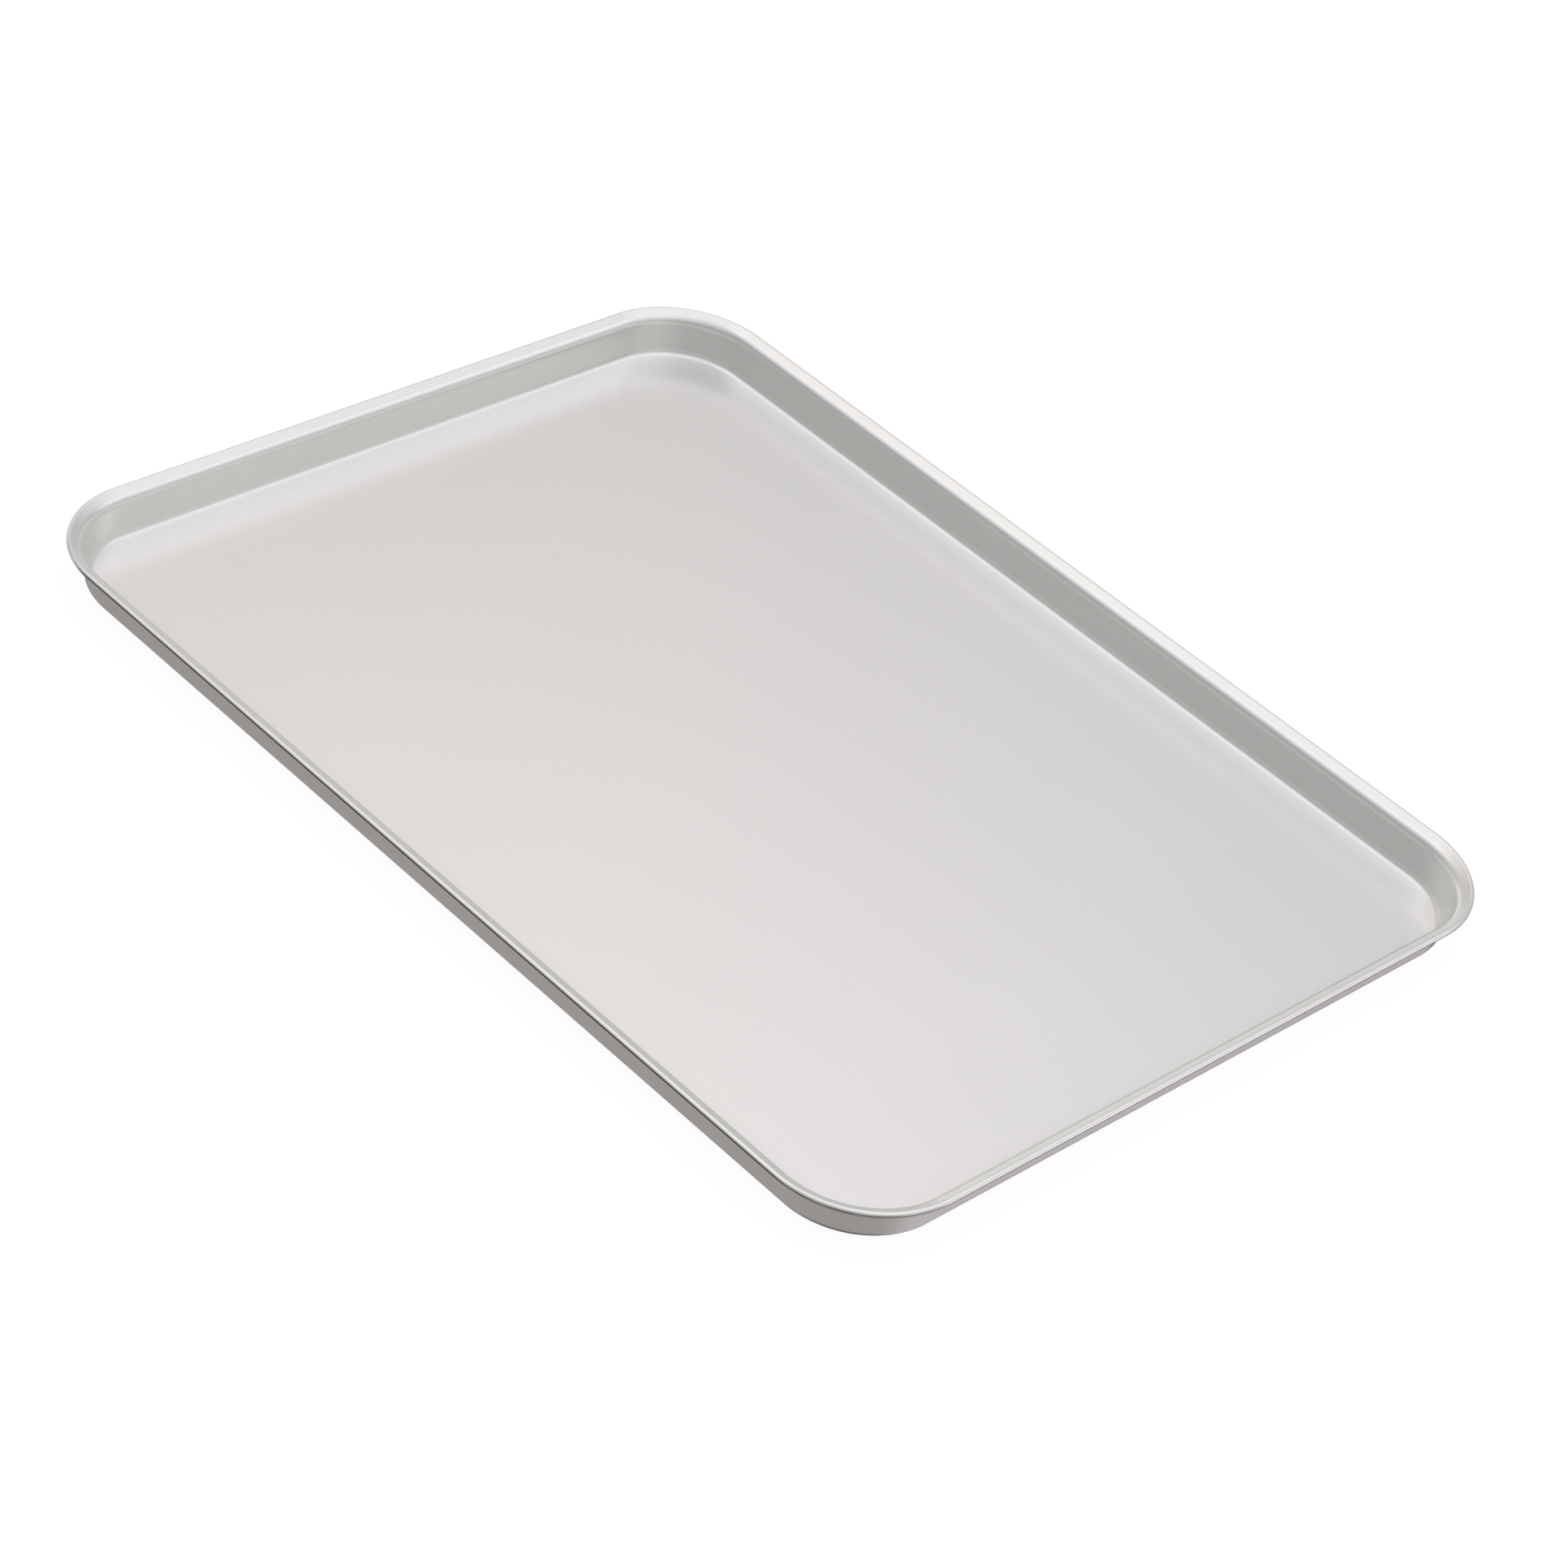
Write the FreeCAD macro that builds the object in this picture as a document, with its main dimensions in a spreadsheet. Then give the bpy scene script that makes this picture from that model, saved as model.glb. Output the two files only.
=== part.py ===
import FreeCAD, Part
import math
import os

import Sketcher
from FreeCAD import Placement, Rotation, Vector

# Driving sizes, in millimetres and degrees.
SIZES = {
    "overall_length": 450.0,     # outermost edge to outermost edge, along X
    "overall_width": 332.0,      # the same, along Y
    "overall_height": 19.0,      # underside of the floor to the top of the bead
    "rim_corner_radius": 41.0,   # in plan, at the outermost edge
    "sheet_thickness": 0.6,
    "floor_inset": 10.8,         # outermost edge to the edge of the flat floor
    "bend_radius": 2.8,          # inside face, between floor and wall
    "wall_lean": 7.5,            # outwards from upright
    "shoulder_radius": 5.0,      # top face, between wall and flange
    "flange_slope": 26.0,        # rising outwards from level
    "curl_sweep": 240.0,         # how far the edge is curled round the wire
    "wire_diameter": 0.9,        # across the corners of its eight flats
    "wire_clearance": 0.12,      # between the wire and the inside of the curl
    "wire_gap": 2.0,             # between the two ends of the wire
}

# Expressions that several sketches share.
CURL_BORE = "(sizes.wire_diameter / 2 + sizes.wire_clearance)"
BEAD_RADIUS = "(sizes.wire_diameter / 2 + sizes.wire_clearance + sizes.sheet_thickness)"

# Points of a sketch edge, and the sketch's own origin and axes.
START, END, CENTRE = range(1, 4)
X_AXIS, Y_AXIS = range(-1, -3, -1)
ORIGIN = (X_AXIS, START)

# Flats round the wire.
WIRE_FLATS = 8

os.makedirs("parts", exist_ok=True)
doc = FreeCAD.newDocument("cookie_sheet")
sizes = doc.addObject("Spreadsheet::Sheet", "sizes")
for row, (alias, value) in enumerate(SIZES.items(), start=1):
    sizes.set(f"A{row}", alias)
    sizes.set(f"B{row}", str(value))
    sizes.setAlias(f"B{row}", alias)
doc.recompute()


def size(alias):
    return float(sizes.get(alias))


curl_bore = size("wire_diameter") / 2 + size("wire_clearance")
bead_radius = curl_bore + size("sheet_thickness")


def new_body(label):
    body = doc.addObject("PartDesign::Body", label)
    body.Label = label
    return body


def new_sketch(body, name, plane_role):
    sketch = body.newObject("Sketcher::SketchObject", name)
    plane = next(item for item in body.Origin.OriginFeatures if item.Role == plane_role)
    sketch.AttachmentSupport = (plane, [""])
    sketch.MapMode = "FlatFace"
    return sketch


def dimension(sketch, name, expression, kind, *where):
    index = sketch.addConstraint(Sketcher.Constraint(kind, *where))
    sketch.renameConstraint(index, name)
    sketch.setExpression(f"Constraints.{name}", expression)


def constrain(sketch, kind, *where):
    sketch.addConstraint(Sketcher.Constraint(kind, *where))


def add_line(sketch, start, end):
    return sketch.addGeometry(Part.LineSegment(start, end), False)


def add_arc(sketch, centre, radius, start_angle, end_angle):
    circle = Part.Circle(centre, Vector(0, 0, 1), radius)
    return sketch.addGeometry(Part.ArcOfCircle(circle, start_angle, end_angle), False)


def on_circle(centre, radius, angle):
    return centre + Vector(math.cos(angle), math.sin(angle), 0) * radius


def draw_loop(sketch, inset, inset_text, gap=0.0, gap_text=None):
    """A rounded rectangle inside the rim's outermost edge, begun at the middle of the front long side.

    With a gap it stays open there, by that much.
    """
    half_x = size("overall_length") / 2 - inset
    half_y = size("overall_width") / 2 - inset
    radius = size("rim_corner_radius") - inset
    run_x = half_x - radius
    run_y = half_y - radius
    front_right = add_line(sketch, Vector(gap / 2, -half_y, 0), Vector(run_x, -half_y, 0))
    right = add_line(sketch, Vector(half_x, -run_y, 0), Vector(half_x, run_y, 0))
    back = add_line(sketch, Vector(run_x, half_y, 0), Vector(-run_x, half_y, 0))
    left = add_line(sketch, Vector(-half_x, run_y, 0), Vector(-half_x, -run_y, 0))
    front_left = add_line(sketch, Vector(-run_x, -half_y, 0), Vector(-gap / 2, -half_y, 0))
    runs = [front_right, right, back, left, front_left]
    corner_centres = [(run_x, -run_y), (run_x, run_y), (-run_x, run_y), (-run_x, -run_y)]
    corners = []
    for turn, (x, y) in enumerate(corner_centres):
        begin = math.radians(90 * turn - 90)
        corners.append(add_arc(sketch, Vector(x, y, 0), radius, begin, begin + math.pi / 2))
    for turn, corner in enumerate(corners):
        constrain(sketch, "Tangent", runs[turn], END, corner, START)
        constrain(sketch, "Tangent", corner, END, runs[turn + 1], START)
    for corner in corners[1:]:
        constrain(sketch, "Equal", corners[0], corner)
    constrain(sketch, "Symmetric", right, START, right, END, X_AXIS)
    constrain(sketch, "Symmetric", back, START, back, END, Y_AXIS)
    constrain(sketch, "Symmetric", left, START, left, END, X_AXIS)
    constrain(sketch, "Horizontal", front_right)
    constrain(sketch, "Horizontal", front_left)
    if gap_text:
        dimension(sketch, "gap_right", f"{gap_text} / 2",
                  "DistanceX", *ORIGIN, front_right, START, gap / 2)
        dimension(sketch, "gap_left", f"{gap_text} / 2",
                  "DistanceX", front_left, END, *ORIGIN, gap / 2)
    else:
        constrain(sketch, "PointOnObject", front_right, START, Y_AXIS)
        constrain(sketch, "PointOnObject", front_left, END, Y_AXIS)
    dimension(sketch, "length", f"sizes.overall_length - 2 * {inset_text}",
              "DistanceX", left, START, right, END, 2 * half_x)
    dimension(sketch, "width", f"sizes.overall_width - 2 * {inset_text}",
              "DistanceY", front_right, END, back, START, 2 * half_y)
    dimension(sketch, "corner_radius", f"sizes.rim_corner_radius - {inset_text}",
              "Radius", corners[0], radius)


def draw_side_section(sketch):
    """The bent sheet from the flat floor's edge to the end of the curl, with X outwards and Y up."""
    sheet = size("sheet_thickness")
    bend = size("bend_radius")
    shoulder = size("shoulder_radius")
    lean = math.radians(size("wall_lean"))
    slope = math.radians(size("flange_slope"))
    floor_edge = size("overall_width") / 2 - size("floor_inset")

    # Directions up the wall and out along the flange, and the angles of their upper faces' normals.
    up_wall = Vector(math.sin(lean), math.cos(lean), 0)
    out_flange = Vector(math.cos(slope), math.sin(slope), 0)
    wall_normal = math.pi - lean
    flange_normal = math.pi / 2 + slope
    curl_end_angle = flange_normal - math.radians(size("curl_sweep"))

    # The shoulder's centre lies one shoulder radius under both the wall's and the flange's upper faces.
    bend_centre = Vector(floor_edge, bend + sheet, 0)
    curl_centre = Vector(size("overall_width") / 2 - bead_radius, size("overall_height") - bead_radius, 0)
    under_wall = on_circle(bend_centre, -(bend + shoulder), wall_normal)
    under_flange = on_circle(curl_centre, bead_radius - shoulder, flange_normal)
    across = under_flange - under_wall
    climb = across.cross(out_flange).z / up_wall.cross(out_flange).z
    shoulder_centre = under_wall + up_wall * climb

    def arc_pair(centre, upper_radius, lower_radius, begin, end):
        upper = add_arc(sketch, centre, upper_radius, begin, end)
        lower = add_arc(sketch, centre, lower_radius, begin, end)
        constrain(sketch, "Coincident", upper, CENTRE, lower, CENTRE)
        return upper, lower

    def line_between(first, first_end, second, second_end):
        return add_line(sketch, sketch.getPoint(first, first_end), sketch.getPoint(second, second_end))

    bend_top, bend_under = arc_pair(bend_centre, bend, bend + sheet, -math.pi / 2, -lean)
    shoulder_top, shoulder_under = arc_pair(
        shoulder_centre, shoulder, shoulder - sheet, flange_normal, wall_normal)
    curl_outside, curl_inside = arc_pair(
        curl_centre, bead_radius, curl_bore, curl_end_angle, flange_normal)

    wall_top = line_between(bend_top, END, shoulder_top, END)
    flange_top = line_between(shoulder_top, START, curl_outside, END)
    curl_end = line_between(curl_outside, START, curl_inside, START)
    flange_under = line_between(curl_inside, END, shoulder_under, START)
    wall_under = line_between(shoulder_under, END, bend_under, END)
    floor_seam = line_between(bend_under, START, bend_top, START)

    constrain(sketch, "Tangent", wall_top, START, bend_top, END)
    constrain(sketch, "Tangent", wall_top, END, shoulder_top, END)
    constrain(sketch, "Tangent", flange_top, START, shoulder_top, START)
    constrain(sketch, "Tangent", flange_top, END, curl_outside, END)
    constrain(sketch, "Coincident", curl_end, START, curl_outside, START)
    constrain(sketch, "Coincident", curl_end, END, curl_inside, START)
    constrain(sketch, "PointOnObject", curl_outside, CENTRE, curl_end)
    constrain(sketch, "Tangent", flange_under, START, curl_inside, END)
    constrain(sketch, "Tangent", flange_under, END, shoulder_under, START)
    constrain(sketch, "Tangent", wall_under, START, shoulder_under, END)
    constrain(sketch, "Tangent", wall_under, END, bend_under, END)
    constrain(sketch, "Coincident", floor_seam, START, bend_under, START)
    constrain(sketch, "Coincident", floor_seam, END, bend_top, START)
    constrain(sketch, "Vertical", floor_seam)
    constrain(sketch, "Vertical", bend_top, CENTRE, bend_top, START)
    constrain(sketch, "PointOnObject", floor_seam, START, X_AXIS)

    dimension(sketch, "bend_inside", "sizes.bend_radius", "Radius", bend_top, bend)
    dimension(sketch, "bend_outside", "sizes.bend_radius + sizes.sheet_thickness",
              "Radius", bend_under, bend + sheet)
    dimension(sketch, "shoulder_upper", "sizes.shoulder_radius", "Radius", shoulder_top, shoulder)
    dimension(sketch, "shoulder_lower", "sizes.shoulder_radius - sizes.sheet_thickness",
              "Radius", shoulder_under, shoulder - sheet)
    dimension(sketch, "bead", BEAD_RADIUS, "Radius", curl_outside, bead_radius)
    dimension(sketch, "bore", CURL_BORE, "Radius", curl_inside, curl_bore)
    dimension(sketch, "wall_angle", "(90 - sizes.wall_lean) * 1 deg",
              "Angle", wall_top, math.pi / 2 - lean)
    dimension(sketch, "flange_angle", "sizes.flange_slope * 1 deg", "Angle", flange_top, slope)
    dimension(sketch, "sweep", "sizes.curl_sweep * 1 deg",
              "Angle", curl_outside, math.radians(size("curl_sweep")))
    dimension(sketch, "floor_edge", "sizes.overall_width / 2 - sizes.floor_inset",
              "DistanceX", bend_top, START, floor_edge)
    dimension(sketch, "bead_out", f"sizes.overall_width / 2 - {BEAD_RADIUS}",
              "DistanceX", curl_outside, CENTRE, curl_centre.x)
    dimension(sketch, "bead_up", f"sizes.overall_height - {BEAD_RADIUS}",
              "DistanceY", curl_outside, CENTRE, curl_centre.y)


def draw_wire_section(sketch):
    """The wire's section, with flats in place of its round face: the curl hides it."""
    centre = Vector(bead_radius - size("overall_width") / 2, size("overall_height") - bead_radius, 0)
    radius = size("wire_diameter") / 2
    ring = sketch.addGeometry(Part.Circle(centre, Vector(0, 0, 1), radius), True)
    turn = 2 * math.pi / WIRE_FLATS
    corners = [on_circle(centre, radius, turn * (count + 0.5)) for count in range(WIRE_FLATS)]
    flats = [add_line(sketch, corners[count - 1], corners[count]) for count in range(WIRE_FLATS)]
    for count, flat in enumerate(flats):
        constrain(sketch, "Coincident", flats[count - 1], END, flat, START)
        constrain(sketch, "PointOnObject", flat, START, ring)
    for flat in flats[1:]:
        constrain(sketch, "Equal", flats[0], flat)
    constrain(sketch, "Vertical", flats[0])
    dimension(sketch, "wire", "sizes.wire_diameter", "Diameter", ring, size("wire_diameter"))
    dimension(sketch, "out", f"sizes.overall_width / 2 - {BEAD_RADIUS}",
              "DistanceX", ring, CENTRE, *ORIGIN, -centre.x)
    dimension(sketch, "up", f"sizes.overall_height - {BEAD_RADIUS}",
              "DistanceY", *ORIGIN, ring, CENTRE, centre.y)


def make_pan():
    """One pressed sheet: the floor, and the side section carried round the floor's edge."""
    body = new_body("pan")
    floor_outline = new_sketch(body, "floor_outline", "XY_Plane")
    draw_loop(floor_outline, size("floor_inset"), "sizes.floor_inset")
    floor = body.newObject("PartDesign::Pad", "floor")
    floor.Profile = floor_outline
    floor.setExpression("Length", "sizes.sheet_thickness")
    doc.recompute()

    side_section = new_sketch(body, "side_section", "YZ_Plane")
    side_section.AttachmentOffset = Placement(Vector(0, 0, 0), Rotation(Vector(0, 1, 0), 180))
    draw_side_section(side_section)
    doc.recompute()

    side = body.newObject("PartDesign::AdditivePipe", "side_and_rim")
    side.Profile = side_section
    side.Spine = floor_outline
    doc.recompute()
    return body


def make_rim_wire():
    """The wire hoop that the rim is curled round, open where its ends meet."""
    body = new_body("rim_wire")
    hoop = new_sketch(body, "hoop", "XY_Plane")
    hoop.setExpression("AttachmentOffset.Base.z", f"sizes.overall_height - {BEAD_RADIUS}")
    draw_loop(hoop, bead_radius, BEAD_RADIUS, size("wire_gap"), "sizes.wire_gap")

    wire_section = new_sketch(body, "wire_section", "YZ_Plane")
    wire_section.setExpression("AttachmentOffset.Base.z", "sizes.wire_gap / 2")
    draw_wire_section(wire_section)
    doc.recompute()

    wire = body.newObject("PartDesign::AdditivePipe", "wire")
    wire.Profile = wire_section
    wire.Spine = hoop
    doc.recompute()
    return body


parts = [make_pan(), make_rim_wire()]
doc.recompute()

for item in doc.Objects:
    if "Invalid" in item.State or "Error" in item.State:
        raise RuntimeError(f"{item.Name} failed: {item.State}")
for part in parts:
    if part.Shape.isNull() or not part.Shape.isValid():
        raise RuntimeError(f"{part.Label} has no valid shape")
    if len(part.Shape.Solids) != 1:
        raise RuntimeError(f"{part.Label} is {len(part.Shape.Solids)} solids")
    part.Shape.exportStep(f"parts/{part.Label}.step")
    box = part.Shape.optimalBoundingBox(True, False)
    print(f"{part.Label}: {box.XLength:.2f} x {box.YLength:.2f} x {box.ZLength:.2f} mm, "
          f"{part.Shape.Volume:.0f} mm3, {len(part.Shape.Faces)} faces")
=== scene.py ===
import math

import bpy
from mathutils import Matrix, Vector


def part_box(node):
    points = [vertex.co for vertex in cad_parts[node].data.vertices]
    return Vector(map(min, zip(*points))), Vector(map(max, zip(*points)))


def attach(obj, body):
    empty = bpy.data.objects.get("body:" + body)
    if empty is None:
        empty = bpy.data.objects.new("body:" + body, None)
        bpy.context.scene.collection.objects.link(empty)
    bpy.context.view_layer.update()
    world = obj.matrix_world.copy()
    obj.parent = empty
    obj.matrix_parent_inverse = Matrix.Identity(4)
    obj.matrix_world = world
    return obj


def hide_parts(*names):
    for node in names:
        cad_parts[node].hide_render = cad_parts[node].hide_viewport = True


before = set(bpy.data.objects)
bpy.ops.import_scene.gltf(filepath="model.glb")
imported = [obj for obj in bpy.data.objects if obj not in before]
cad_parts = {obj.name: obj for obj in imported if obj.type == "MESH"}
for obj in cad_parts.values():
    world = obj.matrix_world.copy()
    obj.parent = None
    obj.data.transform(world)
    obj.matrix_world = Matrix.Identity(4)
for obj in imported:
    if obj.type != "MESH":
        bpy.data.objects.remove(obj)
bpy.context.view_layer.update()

mm = 0.001
print("frame loaded:", sorted(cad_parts))


# Small helpers for node trees

def addNode(tree, kind, **settings):
    node = tree.nodes.new(kind)
    for name, value in settings.items():
        setattr(node, name, value)
    return node


def addSockets(tree, side, kinds):
    for label, kind in kinds.items():
        tree.interface.new_socket(label, in_out=side, socket_type="NodeSocket" + kind)


def plug(tree, socket, value):
    # the value is another node's socket or a plain value
    if isinstance(value, bpy.types.NodeSocket):
        tree.links.new(value, socket)
    else:
        socket.default_value = value


def feed(tree, node, **inputs):
    # plugs inputs by name; underscores stand for spaces
    for name, value in inputs.items():
        plug(tree, node.inputs[name.replace("_", " ")], value)
    return node


def combine(tree, operation, *values):
    node = addNode(tree, "ShaderNodeMath", operation=operation)
    for socket, value in zip(node.inputs, values):
        plug(tree, socket, value)
    return node.outputs[0]


def scaled(tree, vector, share):
    node = addNode(tree, "ShaderNodeVectorMath", operation="SCALE")
    plug(tree, node.inputs[0], vector)
    return feed(tree, node, Scale=share).outputs[0]


def fade(tree, value, begin, end):
    # 0 at begin, 1 at end, eased
    node = addNode(tree, "ShaderNodeMapRange", interpolation_type="SMOOTHSTEP")
    return feed(tree, node, Value=value, From_Min=begin, From_Max=end).outputs[0]


# Sweeping a section round the rim

sharpAngle = math.radians(50)  # an edge bent by more than this stays sharp


def newSweepTree(name, ownSizes):
    # every sweep takes the sizes of its path and a finish, and sizes of its own
    pathSizes = {"Length": "Float", "Width": "Float", "Corner Radius": "Float", "Corner Steps": "Int"}
    tree = bpy.data.node_groups.new(name, "GeometryNodeTree")
    addSockets(tree, "INPUT", {**pathSizes, **ownSizes, "Finish": "Material"})
    addSockets(tree, "OUTPUT", {"Geometry": "Geometry"})
    return tree, addNode(tree, "NodeGroupInput").outputs, addNode(tree, "NodeGroupOutput")


def addRimPath(tree, given):
    # a rounded rectangle, counterclockwise; a section swept along it has its X outwards and its Y down
    sides = addNode(tree, "GeometryNodeCurvePrimitiveQuadrilateral", mode="RECTANGLE")
    feed(tree, sides, Width=given["Length"], Height=given["Width"])
    rounded = addNode(tree, "GeometryNodeFilletCurve", mode="POLY")
    feed(tree, rounded, Curve=sides.outputs[0], Radius=given["Corner Radius"], Count=given["Corner Steps"])
    level = addNode(tree, "GeometryNodeSetCurveNormal", mode="Z_UP")
    feed(tree, level, Curve=rounded.outputs[0])
    return level.outputs[0]


def closeTree(tree, given, result, geometry):
    # smooth all round, but sharp at the raw edges of the metal
    smooth = addNode(tree, "GeometryNodeSetShadeSmooth", domain="FACE")
    feed(tree, smooth, Geometry=geometry, Shade_Smooth=True)
    angle = addNode(tree, "GeometryNodeInputMeshEdgeAngle")
    sharp = addNode(tree, "FunctionNodeCompare", data_type="FLOAT", operation="GREATER_THAN")
    feed(tree, sharp, A=angle.outputs["Unsigned Angle"], B=sharpAngle)
    edges = addNode(tree, "GeometryNodeSetShadeSmooth", domain="EDGE")
    feed(tree, edges, Geometry=smooth.outputs[0], Selection=sharp.outputs[0], Shade_Smooth=False)
    real = feed(tree, addNode(tree, "GeometryNodeRealizeInstances"), Geometry=edges.outputs[0])
    painted = addNode(tree, "GeometryNodeSetMaterial")
    feed(tree, painted, Geometry=real.outputs[0], Material=given["Finish"])
    feed(tree, result, Geometry=painted.outputs[0])


def growPiece(name, tree, values):
    # runs the tree once and keeps its result as a plain mesh
    piece = bpy.data.objects.new(name, bpy.data.meshes.new(name))
    bpy.context.scene.collection.objects.link(piece)
    modifier = piece.modifiers.new("grow", "NODES")
    modifier.node_group = tree
    for item in tree.interface.items_tree:
        if item.in_out == "INPUT":
            modifier[item.identifier] = values[item.name]
    evaluated = piece.evaluated_get(bpy.context.evaluated_depsgraph_get())
    mesh = bpy.data.meshes.new_from_object(evaluated)
    piece.modifiers.remove(modifier)
    piece.data = mesh
    mesh.name = name
    return piece


# Finishes

def newFinish(name):
    finish = bpy.data.materials.new(name)
    finish.use_nodes = True
    tree = finish.node_tree
    return finish, tree, tree.nodes["Principled BSDF"]


def unevenness(tree, place, scale, detail):
    # noise around zero
    noise = addNode(tree, "ShaderNodeTexNoise", noise_dimensions="3D")
    feed(tree, noise, Vector=place, Scale=scale, Detail=detail)
    return combine(tree, "SUBTRACT", noise.outputs["Fac"], 0.5)


noiseDetail = {"cloud": 2.0, "grain": 3.0, "lines": 2.0, "notchShade": 2.0}  # finer layers over each noise


def makeMetalGrain():
    # what all worked metal shows: cloudy tone, fine grain, and lines left by the rolls or the die
    group = bpy.data.node_groups.new("metalGrain", "ShaderNodeTree")
    addSockets(group, "INPUT", {
        "Place": "Vector",
        "Lines": "Vector",
        "Tone": "Color",
        "Cloud Scale": "Float",
        "Cloud Drift": "Float",
        "Line Drift": "Float",
        "Line Relief": "Float",
        "Grain Scale": "Float",
        "Mean Roughness": "Float",
        "Roughness Drift": "Float",
    })
    addSockets(group, "OUTPUT", {"Color": "Color", "Roughness": "Float", "Height": "Float"})
    given = addNode(group, "NodeGroupInput").outputs
    result = addNode(group, "NodeGroupOutput")
    cloud = unevenness(group, given["Place"], given["Cloud Scale"], noiseDetail["cloud"])
    grain = unevenness(group, given["Place"], given["Grain Scale"], noiseDetail["grain"])
    lines = unevenness(group, given["Lines"], 1.0, noiseDetail["lines"])  # these come in scaled
    drift = combine(group, "MULTIPLY_ADD", cloud, given["Cloud Drift"], 1.0)
    drift = combine(group, "MULTIPLY_ADD", lines, given["Line Drift"], drift)
    uneven = combine(group, "MULTIPLY_ADD", lines, given["Line Relief"], grain)
    rough = combine(group, "MULTIPLY_ADD", uneven, given["Roughness Drift"], given["Mean Roughness"])
    feed(group, result, Color=scaled(group, given["Tone"], drift), Roughness=rough, Height=uneven)
    return group


def placeGrain(tree, grain, look, place, lines):
    node = addNode(tree, "ShaderNodeGroup", node_tree=grain)
    feed(tree, node, Place=place, Lines=lines, Tone=(*look["tone"], 1))
    feed(tree, node, Cloud_Scale=look["cloudScale"], Cloud_Drift=look["cloudDrift"])
    feed(tree, node, Line_Drift=look["lineDrift"], Line_Relief=look["lineRelief"])
    feed(tree, node, Grain_Scale=look["grainScale"])
    feed(tree, node, Mean_Roughness=look["roughness"], Roughness_Drift=look["roughnessDrift"])
    return node.outputs


def dressMetal(tree, shader, color, rough, height, depth):
    bump = feed(tree, addNode(tree, "ShaderNodeBump"), Height=height, Distance=depth)
    feed(tree, shader, Metallic=1.0, Base_Color=color, Roughness=rough, Normal=bump.outputs[0])


sheetLook = {
    "tone": (0.93, 0.93, 0.922),
    "roughness": 0.26,
    "roughnessDrift": 0.07,
    "cloudScale": 9.0,                   # per metre, as are the other scales
    "cloudDrift": 0.03,
    "lineScale": (14.0, 750.0, 750.0),   # long along X, the way the sheet was rolled
    "lineDrift": 0.02,
    "lineRelief": 0.12,                  # of the grain's
    "grainScale": 1900.0,
    "grainDepth": 0.0015 * mm,
    "rubbedFrom": 11 * mm,               # height at which handling begins to polish the rim
    "rubbedFull": 17 * mm,
    "rubbedRoughness": -0.07,            # added to the roughness, as is the pits'
    "pitScale": 60.0,
    "pitRadius": 0.35 * mm,
    "pitCore": 0.5,                      # share of the radius within which a pit is full
    "pitTone": 0.72,
    "pitRoughness": 0.12,
    "notchShadePlace": (-3.6 * mm, -165.7 * mm, 17.3 * mm),  # centre of a painted shade: the small notch where the edge was closed over the wire's joint is darkened in colour, not cut
    "notchShadeRadius": 0.8 * mm,
    "notchShadeCore": 0.6,
    "notchShadeRagged": 0.9 * mm,              # how far its edge strays
    "notchShadeScale": 1200.0,
    "notchShadeTone": 0.3,
}


def smallPits(tree, look, place):
    cells = feed(tree, addNode(tree, "ShaderNodeTexVoronoi"), Vector=place, Scale=look["pitScale"])
    edge = look["pitRadius"] * look["pitScale"]
    return fade(tree, cells.outputs["Distance"], edge, look["pitCore"] * edge)


# painted shade: a ragged dark spot on the curl stands in for the shade inside the notch at the wire's joint,
# which the sheet itself does not have
def rimNotchShade(tree, look, place):
    reach = addNode(tree, "ShaderNodeVectorMath", operation="DISTANCE")
    plug(tree, reach.inputs[0], place)
    plug(tree, reach.inputs[1], look["notchShadePlace"])
    torn = unevenness(tree, place, look["notchShadeScale"], noiseDetail["notchShade"])
    ragged = combine(tree, "MULTIPLY_ADD", torn, look["notchShadeRagged"], reach.outputs["Value"])
    return fade(tree, ragged, look["notchShadeRadius"], look["notchShadeCore"] * look["notchShadeRadius"])


def satinAluminium(grain):
    look = sheetLook
    finish, tree, shader = newFinish("satinAluminium")
    place = addNode(tree, "ShaderNodeTexCoord").outputs["Object"]
    lines = feed(tree, addNode(tree, "ShaderNodeMapping"), Vector=place, Scale=look["lineScale"])
    surface = placeGrain(tree, grain, look, place, lines.outputs[0])
    height = feed(tree, addNode(tree, "ShaderNodeSeparateXYZ"), Vector=place).outputs["Z"]
    rubbed = fade(tree, height, look["rubbedFrom"], look["rubbedFull"])
    pits = smallPits(tree, look, place)
    notchShade = rimNotchShade(tree, look, place)

    pitted = combine(tree, "MULTIPLY_ADD", pits, look["pitTone"] - 1, 1.0)
    # darkens the metal's colour by the painted notch shade
    notchShaded = combine(tree, "MULTIPLY_ADD", notchShade, look["notchShadeTone"] - 1, 1.0)
    color = scaled(tree, surface["Color"], combine(tree, "MULTIPLY", pitted, notchShaded))
    rough = combine(tree, "MULTIPLY_ADD", rubbed, look["rubbedRoughness"], surface["Roughness"])
    rough = combine(tree, "MULTIPLY_ADD", pits, look["pitRoughness"], rough)
    relief = combine(tree, "SUBTRACT", surface["Height"], pits)
    dressMetal(tree, shader, color, rough, relief, look["grainDepth"])
    return finish


wireLook = {
    "tone": (0.56, 0.55, 0.53),
    "roughness": 0.33,
    "roughnessDrift": 0.12,
    "cloudScale": 40.0,
    "cloudDrift": 0.10,
    "alongScale": 60.0,                  # die lines run along the wire
    "aroundScale": 9.0,                  # per turn
    "lineDrift": 0.16,
    "lineRelief": 0.4,
    "grainScale": 2500.0,
    "grainDepth": 0.004 * mm,
}


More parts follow.
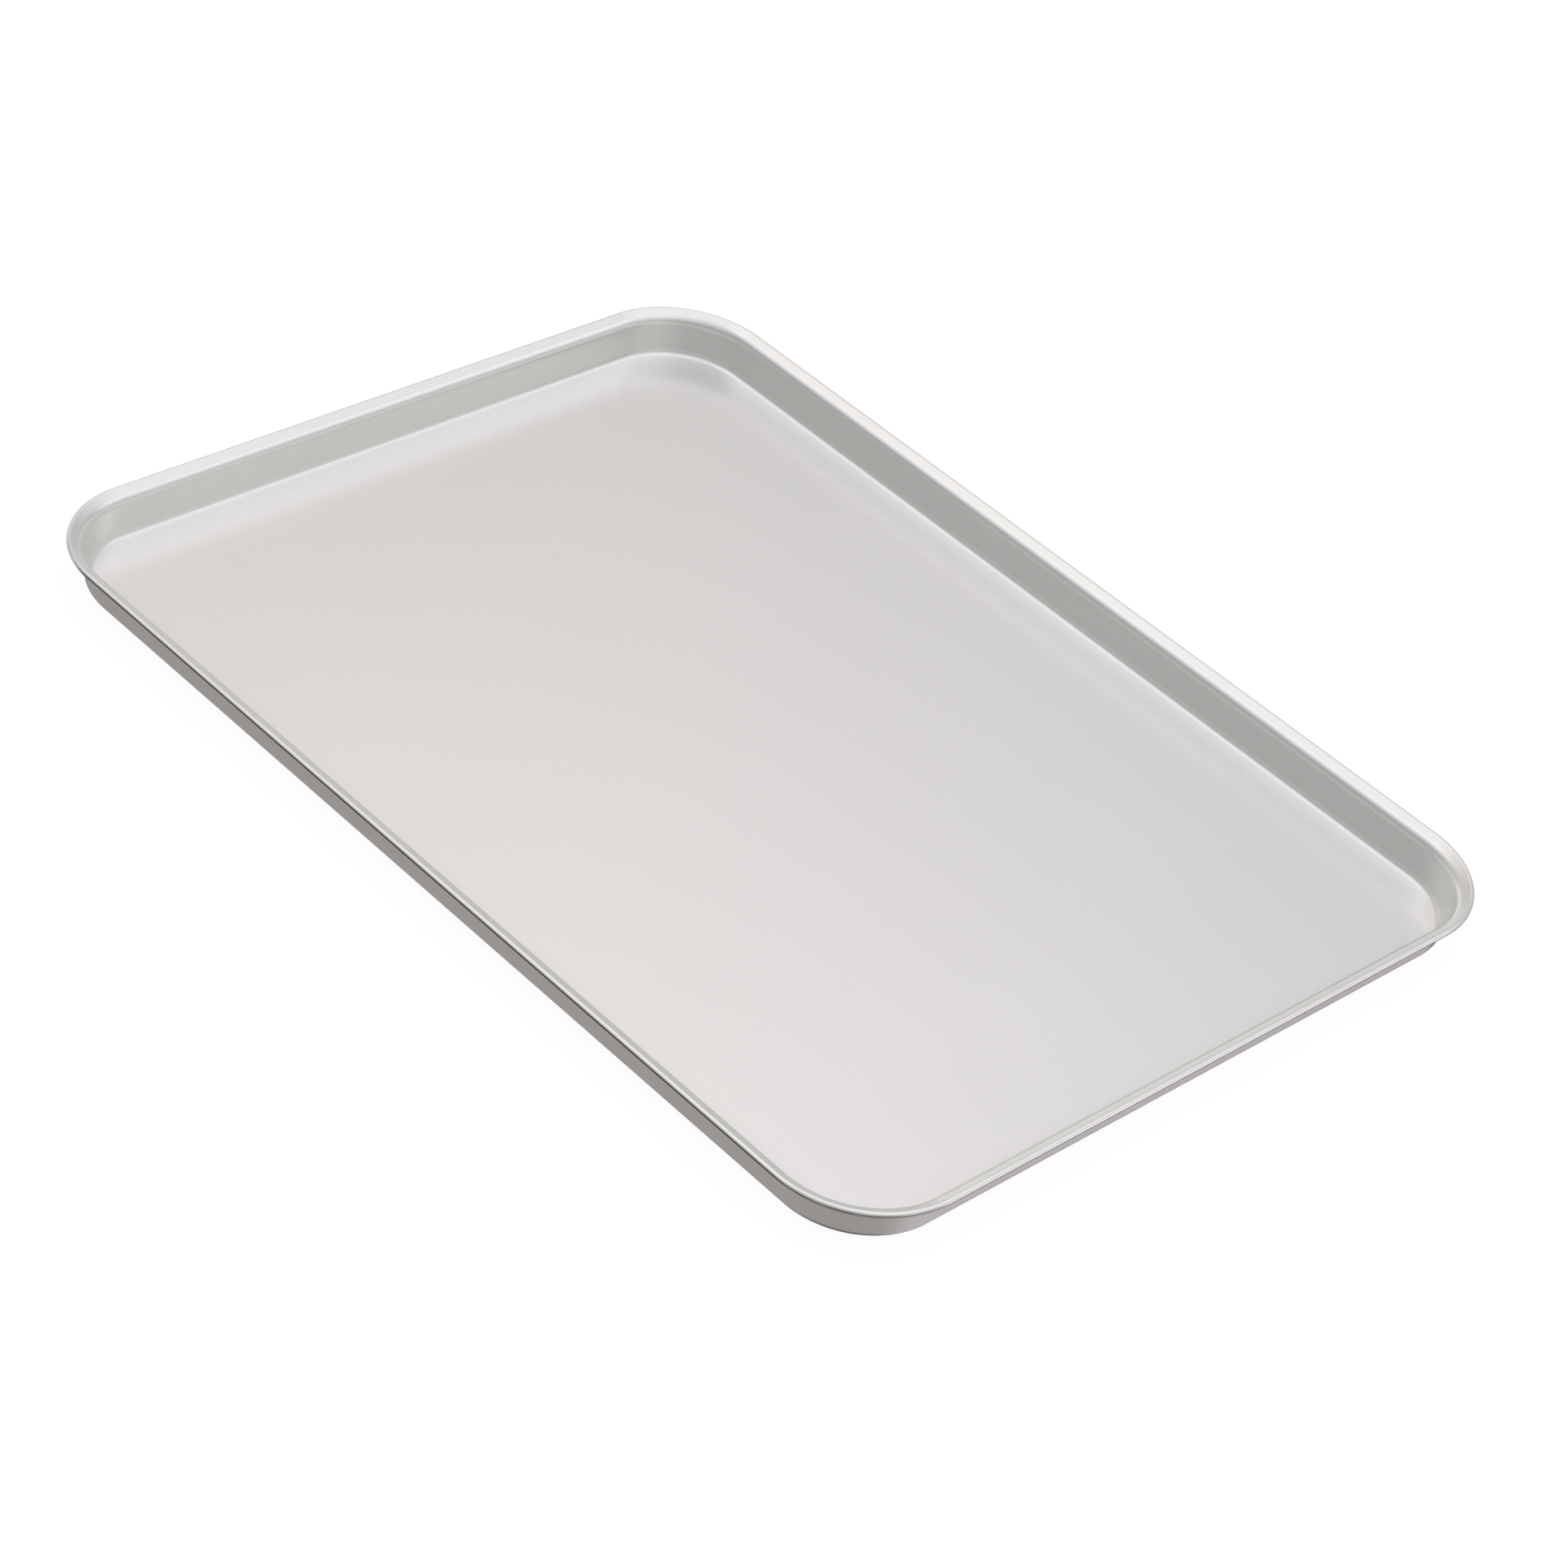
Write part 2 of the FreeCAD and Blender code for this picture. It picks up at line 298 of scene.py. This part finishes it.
def drawnSteel(grain):
    look = wireLook
    finish, tree, shader = newFinish("drawnSteel")
    place = addNode(tree, "ShaderNodeTexCoord").outputs["Object"]
    along = addNode(tree, "ShaderNodeAttribute", attribute_name="alongWire").outputs["Fac"]
    around = addNode(tree, "ShaderNodeAttribute", attribute_name="aroundWire").outputs["Fac"]
    turn = combine(tree, "MULTIPLY", around, 2 * math.pi)
    radius = look["aroundScale"] / (2 * math.pi)  # wraps the lines round, so that they meet without a seam
    lines = addNode(tree, "ShaderNodeCombineXYZ")
    feed(tree, lines, X=combine(tree, "MULTIPLY", along, look["alongScale"]),
         Y=combine(tree, "MULTIPLY", combine(tree, "COSINE", turn), radius),
         Z=combine(tree, "MULTIPLY", combine(tree, "SINE", turn), radius))
    surface = placeGrain(tree, grain, look, place, lines.outputs[0])
    dressMetal(tree, shader, surface["Color"], surface["Roughness"], surface["Height"], look["grainDepth"])
    return finish


# The pressed sheet: floor, bend, leaning wall, shoulder, flared flange and curled edge

sheetShape = {
    "cornerRadius": 41 * mm,             # in plan, at the outermost edge
    "thickness": 0.6 * mm,
    "floorInset": 10.8 * mm,             # outermost edge to the edge of the flat floor
    "bendRadius": 2.8 * mm,              # inside face
    "wallLean": math.radians(7.5),       # outwards from upright
    "shoulderRadius": 5 * mm,            # top face
    "flangeSlope": math.radians(26),     # rising outwards
    "curlSweep": math.radians(240),
    "curlBore": 0.57 * mm,               # radius inside the curl
    "floorBorder": 18 * mm,              # width of the floor that is swept with the sides
    "floorLead": 17 * mm,                # width over which the floor eases up into the bend
    "floorRise": 0.64 * mm,              # how far it has come up where the bend begins
    "risePower": 4,                      # the higher, the later it comes up
    "holdBack": 0.2 * mm,                # support points this far from the ends of a flat run
    "supportedRun": 0.8 * mm,            # only a longer run has them
    "weld": 0.001 * mm,                  # points closer than this become one
    "cornerSteps": 32,
    "leadSteps": 12,
    "bendSteps": 10,
    "curlSteps": 26,
}


def arcPoints(centre, radius, begin, end, steps):
    angles = [begin + (end - begin) * step / steps for step in range(steps + 1)]
    return [centre + radius * Vector((math.cos(angle), math.sin(angle))) for angle in angles]


def easePoints(shape, reach, offset):
    # one face of the floor where it eases up, leaving the flat without a break
    lead, rise, power = shape["floorLead"], shape["floorRise"], shape["risePower"]
    steps = shape["leadSteps"]
    points = []
    for step in range(steps + 1):
        share = 1 - (1 - step / steps) ** 2  # closer together towards the bend
        slope = math.atan(power * rise / lead * share ** (power - 1))
        facing = Vector((-math.sin(slope), math.cos(slope)))
        points.append(Vector((reach - lead * (1 - share), rise * share ** power)) + offset * facing)
    return points


def chainStretches(stretches, holdBack, supportedRun):
    # joins arcs and points, with support points near both ends of each flat run between them
    points = list(stretches[0])
    for stretch in stretches[1:]:
        run = stretch[0] - points[-1]
        if run.length > supportedRun:
            step = run.normalized() * holdBack
            points += [points[-1] + step, stretch[0] - step]
        points += stretch
    return points


def sheetSection(shape, height):
    # X runs outwards from the swept border's inner edge, Y up from the underside of the floor
    sheet, bend, shoulder = shape["thickness"], shape["bendRadius"], shape["shoulderRadius"]
    bore = shape["curlBore"]
    bead = bore + sheet
    reach = shape["floorInset"] + shape["floorBorder"]
    lean, slope = shape["wallLean"], shape["flangeSlope"]
    wallNormal = math.pi - lean
    flangeNormal = math.pi / 2 + slope
    curlEnd = flangeNormal - shape["curlSweep"]

    upWall = Vector((math.sin(lean), math.cos(lean)))
    outFlange = Vector((math.cos(slope), math.sin(slope)))
    facing = {name: Vector((math.cos(angle), math.sin(angle)))
              for name, angle in (("wall", wallNormal), ("flange", flangeNormal))}
    tilt = math.atan(shape["risePower"] * shape["floorRise"] / shape["floorLead"])  # where the bend begins
    leadEnd = shape["floorBorder"] + (bend + sheet) * math.sin(tilt)
    bendCentre = Vector((shape["floorBorder"], shape["floorRise"] + (bend + sheet) * math.cos(tilt)))
    bendStart = tilt - math.pi / 2
    curlCentre = Vector((reach - bead, height - bead))

    # the shoulder touches wall and flange, so its centre is where lines at its radius under them cross
    underWall = bendCentre - (bend + shoulder) * facing["wall"]
    underFlange = curlCentre + (bead - shoulder) * facing["flange"]
    across = underFlange - underWall
    climb = across.cross(outFlange) / upWall.cross(outFlange)
    shoulderCentre = underWall + climb * upWall

    bendSteps, curlSteps = shape["bendSteps"], shape["curlSteps"]
    return chainStretches([
        [Vector((0, sheet))],
        easePoints(shape, leadEnd, sheet)[:-1],
        arcPoints(bendCentre, bend, bendStart, -lean, bendSteps),
        arcPoints(shoulderCentre, shoulder, wallNormal, flangeNormal, bendSteps),
        arcPoints(curlCentre, bead, flangeNormal, curlEnd, curlSteps),
        arcPoints(curlCentre, bore, curlEnd, flangeNormal, curlSteps),
        arcPoints(shoulderCentre, shoulder - sheet, flangeNormal, wallNormal, bendSteps),
        arcPoints(bendCentre, bend + sheet, -lean, bendStart, bendSteps),
        easePoints(shape, leadEnd, 0)[-2::-1],
        [Vector((0, 0))],
    ], shape["holdBack"], shape["supportedRun"])


def sectionCurve(name, points):
    data = bpy.data.curves.new(name, "CURVE")
    data.dimensions = "3D"
    spline = data.splines.new("POLY")
    spline.points.add(len(points) - 1)
    for knot, point in zip(spline.points, points):
        knot.co = (point.x, -point.y, 0, 1)  # the sweep turns Y down
    return bpy.data.objects.new(name, data)


def sheetTree():
    tree, given, result = newSweepTree("pressedSheetSweep", {"Section": "Object", "Thickness": "Float"})
    path = addRimPath(tree, given)
    section = feed(tree, addNode(tree, "GeometryNodeObjectInfo"), Object=given["Section"])
    sides = addNode(tree, "GeometryNodeCurveToMesh")
    feed(tree, sides, Curve=path, Profile_Curve=section.outputs["Geometry"])
    floor = feed(tree, addNode(tree, "GeometryNodeFillCurve", mode="NGONS"), Curve=path)
    lift = feed(tree, addNode(tree, "ShaderNodeCombineXYZ"), Z=given["Thickness"])
    inside = addNode(tree, "GeometryNodeTransform")
    feed(tree, inside, Geometry=floor.outputs[0], Translation=lift.outputs[0])
    underside = feed(tree, addNode(tree, "GeometryNodeFlipFaces"), Mesh=floor.outputs[0])
    joined = addNode(tree, "GeometryNodeJoinGeometry")
    for part in (sides, inside, underside):
        feed(tree, joined, Geometry=part.outputs[0])
    merged = addNode(tree, "GeometryNodeMergeByDistance")
    feed(tree, merged, Geometry=joined.outputs[0], Distance=sheetShape["weld"])
    closeTree(tree, given, result, merged.outputs[0])
    return tree


def makePressedSheet(finish):
    low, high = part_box("pan")
    inset = sheetShape["floorInset"] + sheetShape["floorBorder"]
    section = sectionCurve("sheetSection", sheetSection(sheetShape, high.z - low.z))
    piece = growPiece("pressed_sheet", sheetTree(), {
        "Length": high.x - low.x - 2 * inset,
        "Width": high.y - low.y - 2 * inset,
        "Corner Radius": sheetShape["cornerRadius"] - inset,
        "Corner Steps": sheetShape["cornerSteps"],
        "Section": section,
        "Thickness": sheetShape["thickness"],
        "Finish": finish,
    })
    bpy.data.objects.remove(section)
    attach(piece, "root")
    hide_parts("pan")
    print("pressed sheet:", len(piece.data.polygons), "faces")


# The wire that the edge is curled round

wireShape = {
    "diameter": 0.9 * mm,
    "gap": 2 * mm,                       # between its two ends, at the middle of the front long side
    "cornerSteps": 96,
    "steps": 480,
    "sides": 16,
}


def keepShare(tree, curve, name, measure):
    # stores how far along the curve each point lies, for the finish
    share = addNode(tree, "GeometryNodeSplineParameter")
    stored = addNode(tree, "GeometryNodeStoreNamedAttribute", data_type="FLOAT", domain="POINT")
    return feed(tree, stored, Geometry=curve, Name=name, Value=share.outputs[measure]).outputs[0]


def wireTree():
    tree, given, result = newSweepTree("rimWireSweep", {
        "Height": "Float",
        "Begin": "Float",
        "Run": "Float",
        "Around": "Float",
        "Steps": "Int",
        "Radius": "Float",
        "Sides": "Int",
    })
    # a straight line of points is laid along the path, from one end of the wire round to the other
    path = addRimPath(tree, given)
    straight = addNode(tree, "GeometryNodeCurvePrimitiveLine", mode="POINTS")
    line = addNode(tree, "GeometryNodeResampleCurve", mode="COUNT")
    feed(tree, line, Curve=straight.outputs[0], Count=given["Steps"])
    share = addNode(tree, "GeometryNodeSplineParameter").outputs["Factor"]
    along = combine(tree, "MULTIPLY_ADD", share, given["Run"], given["Begin"])
    wrapped = combine(tree, "FLOORED_MODULO", along, given["Around"])
    sample = feed(tree, addNode(tree, "GeometryNodeSampleCurve", mode="LENGTH"), Curves=path, Length=wrapped)
    lift = feed(tree, addNode(tree, "ShaderNodeCombineXYZ"), Z=given["Height"])
    hoop = addNode(tree, "GeometryNodeSetPosition")
    feed(tree, hoop, Geometry=line.outputs[0], Position=sample.outputs["Position"], Offset=lift.outputs[0])
    ring = addNode(tree, "GeometryNodeCurvePrimitiveCircle", mode="RADIUS")
    feed(tree, ring, Resolution=given["Sides"], Radius=given["Radius"])
    wire = addNode(tree, "GeometryNodeCurveToMesh")
    feed(tree, wire, Curve=keepShare(tree, hoop.outputs[0], "alongWire", "Length"),
         Profile_Curve=keepShare(tree, ring.outputs[0], "aroundWire", "Factor"), Fill_Caps=True)
    closeTree(tree, given, result, wire.outputs[0])
    return tree


def makeWireHoop(finish):
    low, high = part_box("pan")
    bead = sheetShape["curlBore"] + sheetShape["thickness"]
    length = high.x - low.x - 2 * bead
    width = high.y - low.y - 2 * bead
    radius = sheetShape["cornerRadius"] - bead
    runX, runY = length - 2 * radius, width - 2 * radius
    quarter = math.pi / 2 * radius
    around = 2 * (runX + runY) + 4 * quarter
    middleOfFront = 3 * quarter + 1.5 * runX + runY  # along the path, which begins at the right back corner
    piece = growPiece("wire_hoop", wireTree(), {
        "Length": length,
        "Width": width,
        "Corner Radius": radius,
        "Corner Steps": wireShape["cornerSteps"],
        "Height": high.z - bead,
        "Begin": middleOfFront + wireShape["gap"] / 2,
        "Run": around - wireShape["gap"],
        "Around": around,
        "Steps": wireShape["steps"],
        "Radius": wireShape["diameter"] / 2,
        "Sides": wireShape["sides"],
        "Finish": finish,
    })
    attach(piece, "root")
    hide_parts("rim_wire")
    print("wire hoop:", len(piece.data.polygons), "faces")


metalGrain = makeMetalGrain()
makePressedSheet(satinAluminium(metalGrain))
makeWireHoop(drawnSteel(metalGrain))


# Stage: pale floor, soft light all round, camera

def aimed(azimuth, elevation):
    # azimuth from the front long side towards the right
    flat = math.cos(elevation)
    return Vector((math.sin(azimuth) * flat, -math.cos(azimuth) * flat, math.sin(elevation)))


stageLook = {
    "floorSize": 12.0,                   # metres
    "floorDrop": 0.2 * mm,
    "floorTone": (0.12, 0.12, 0.12, 1),
    "floorGlow": 0.94,
    "backdrop": (1, 1, 1, 1),
    # sky tones by elevation in degrees, from straight down to straight up
    "skyStops": [
        (-90, (0.10, 0.10, 0.10)),
        (-60, (0.37, 0.35, 0.34)),
        (-30, (0.35, 0.33, 0.32)),
        (0, (0.65, 0.64, 0.63)),
        (25, (0.50, 0.50, 0.49)),
        (40, (0.67, 0.66, 0.67)),
        (60, (0.90, 0.89, 0.89)),
        (90, (0.90, 0.90, 0.89)),
    ],
    # round patches of it that flags darken and cards or softboxes brighten:
    # azimuth, elevation, inner and outer radius in degrees, then how many times as bright
    "skyPatches": {
        "blackFlagFrontLeft": (-35, -20, 18, 26, (0, 0, 0)),
        "blackFlagFront": (0, -22, 16, 22, (0, 0, 0)),
        "blackFlagFrontRight": (35, -22, 16, 22, (0, 0, 0)),
        "blackFlagRight": (70, -22, 16, 22, (0.1, 0.1, 0.1)),
        "greyFlagRight": (105, -25, 12, 22, (0.4, 0.4, 0.4)),
        "blackFlagBackLeft": (-145, -40, 10, 35, (0.1, 0.1, 0.1)),
        "blackStripBackRight": (135, -30, 5, 14, (0.25, 0.25, 0.25)),
        "greyCardFront": (5, 20, 30, 80, (0.75, 0.75, 0.75)),
        "whiteStripBackRight": (130, -9, 5, 13, (2.7, 2.7, 2.7)),
        "whiteCardBackRight": (130, 30, 5, 30, (1.1, 1.1, 1.1)),
        "whiteCardBack": (150, 35, 5, 20, (1.3, 1.3, 1.3)),
        "whiteCardLeft": (-110, 5, 10, 30, (1.3, 1.3, 1.3)),
        "lowBounceBack": (150, -55, 10, 30, (1.45, 1.45, 1.5)),
        "softboxBackLeft": (-135, 45, 0, 15, (1.35, 1.35, 1.35)),
        "softboxLeft": (-60, 50, 5, 25, (1.25, 1.25, 1.25)),
        "warmCardLeft": (-110, 40, 10, 35, (0.98, 0.95, 0.93)),
    },
}


def makeFloor():
    half = stageLook["floorSize"] / 2
    corners = [(-half, -half, 0), (half, -half, 0), (half, half, 0), (-half, half, 0)]
    mesh = bpy.data.meshes.new("floor")
    mesh.from_pydata(corners, [], [(0, 1, 2, 3)])
    floor = bpy.data.objects.new("floor", mesh)
    floor.location.z = -stageLook["floorDrop"]
    bpy.context.scene.collection.objects.link(floor)
    finish, tree, shader = newFinish("paleFloor")
    feed(tree, shader, Base_Color=stageLook["floorTone"], Roughness=1.0, Specular_IOR_Level=0.0,
         Emission_Color=(1, 1, 1, 1), Emission_Strength=stageLook["floorGlow"])
    mesh.materials.append(finish)
    floor.visible_glossy = False


def skyTone(tree, towards):
    # the ramp runs evenly with height, from straight down to straight up
    split = feed(tree, addNode(tree, "ShaderNodeSeparateXYZ"), Vector=towards)
    height = addNode(tree, "ShaderNodeMapRange")
    feed(tree, height, Value=split.outputs["Z"], From_Min=-1.0, From_Max=1.0)
    ramp = feed(tree, addNode(tree, "ShaderNodeValToRGB"), Fac=height.outputs[0])
    stops = stageLook["skyStops"]
    elements = ramp.color_ramp.elements
    while len(elements) < len(stops):
        elements.new(0.5)  # moved to its place below
    for element, (elevation, tone) in zip(elements, stops):
        element.position = (math.sin(math.radians(elevation)) + 1) / 2
        element.color = (*tone, 1)
    return ramp.outputs["Color"]


def patchedTone(tree, towards, tone, patch):
    azimuth, elevation, inner, outer, gain = patch
    nearness = addNode(tree, "ShaderNodeVectorMath", operation="DOT_PRODUCT")
    plug(tree, nearness.inputs[0], towards)
    plug(tree, nearness.inputs[1], aimed(math.radians(azimuth), math.radians(elevation)))
    begin, full = math.cos(math.radians(outer)), math.cos(math.radians(inner))
    inside = fade(tree, nearness.outputs["Value"], begin, full)
    change = scaled(tree, [share - 1 for share in gain], inside)
    changed = addNode(tree, "ShaderNodeVectorMath", operation="MULTIPLY_ADD")
    for socket, part in zip(changed.inputs, (tone, change, tone)):
        plug(tree, socket, part)
    return changed.outputs[0]


def makeSky():
    world = bpy.data.worlds.new("studio")
    bpy.context.scene.world = world
    world.use_nodes = True
    tree = world.node_tree
    tree.nodes.clear()
    towards = addNode(tree, "ShaderNodeTexCoord").outputs["Generated"]
    tone = skyTone(tree, towards)
    for patch in stageLook["skyPatches"].values():
        tone = patchedTone(tree, towards, tone, patch)
    light = feed(tree, addNode(tree, "ShaderNodeBackground"), Color=tone, Strength=1.0)
    backdrop = feed(tree, addNode(tree, "ShaderNodeBackground"), Color=stageLook["backdrop"], Strength=1.0)
    seen = addNode(tree, "ShaderNodeLightPath")
    choose = addNode(tree, "ShaderNodeMixShader")  # the camera sees the backdrop, the object the light
    parts = (seen.outputs["Is Camera Ray"], light.outputs[0], backdrop.outputs[0])
    for socket, part in zip(choose.inputs, parts):
        plug(tree, socket, part)
    feed(tree, addNode(tree, "ShaderNodeOutputWorld"), Surface=choose.outputs[0])


cameraPlace = {
    "aim": Vector((22.5, -7.3, 0.6)) * mm,  # the point of the floor at the middle of the picture
    "distance": 1621.5 * mm,
    "azimuth": math.radians(39.75),      # from the front long side towards the right
    "elevation": math.radians(37.31),
    "roll": math.radians(12.07),         # right side up
    "focalPixels": 5545,
    "framePixels": 1932,                 # the picture's width, in the same pixels
    "sensor": 36.0,                      # millimetres, as the lens is
    "clipStart": 10 * mm,
}


def makeCamera():
    place = cameraPlace
    back = aimed(place["azimuth"], place["elevation"])
    levelRight = (-back).cross(Vector((0, 0, 1))).normalized()
    levelUp = back.cross(levelRight)
    right = levelRight * math.cos(place["roll"]) + levelUp * math.sin(place["roll"])
    data = bpy.data.cameras.new("camera")
    data.sensor_width = place["sensor"]
    data.lens = place["sensor"] * place["focalPixels"] / place["framePixels"]
    data.clip_start = place["clipStart"]
    camera = bpy.data.objects.new("camera", data)
    axes = Matrix((right, back.cross(right), back)).transposed().to_4x4()
    camera.matrix_world = Matrix.Translation(place["aim"] + back * place["distance"]) @ axes
    bpy.context.scene.collection.objects.link(camera)
    bpy.context.scene.camera = camera


makeFloor()
makeSky()
makeCamera()
bpy.context.scene.view_settings.view_transform = "Standard"
print("stage ready")
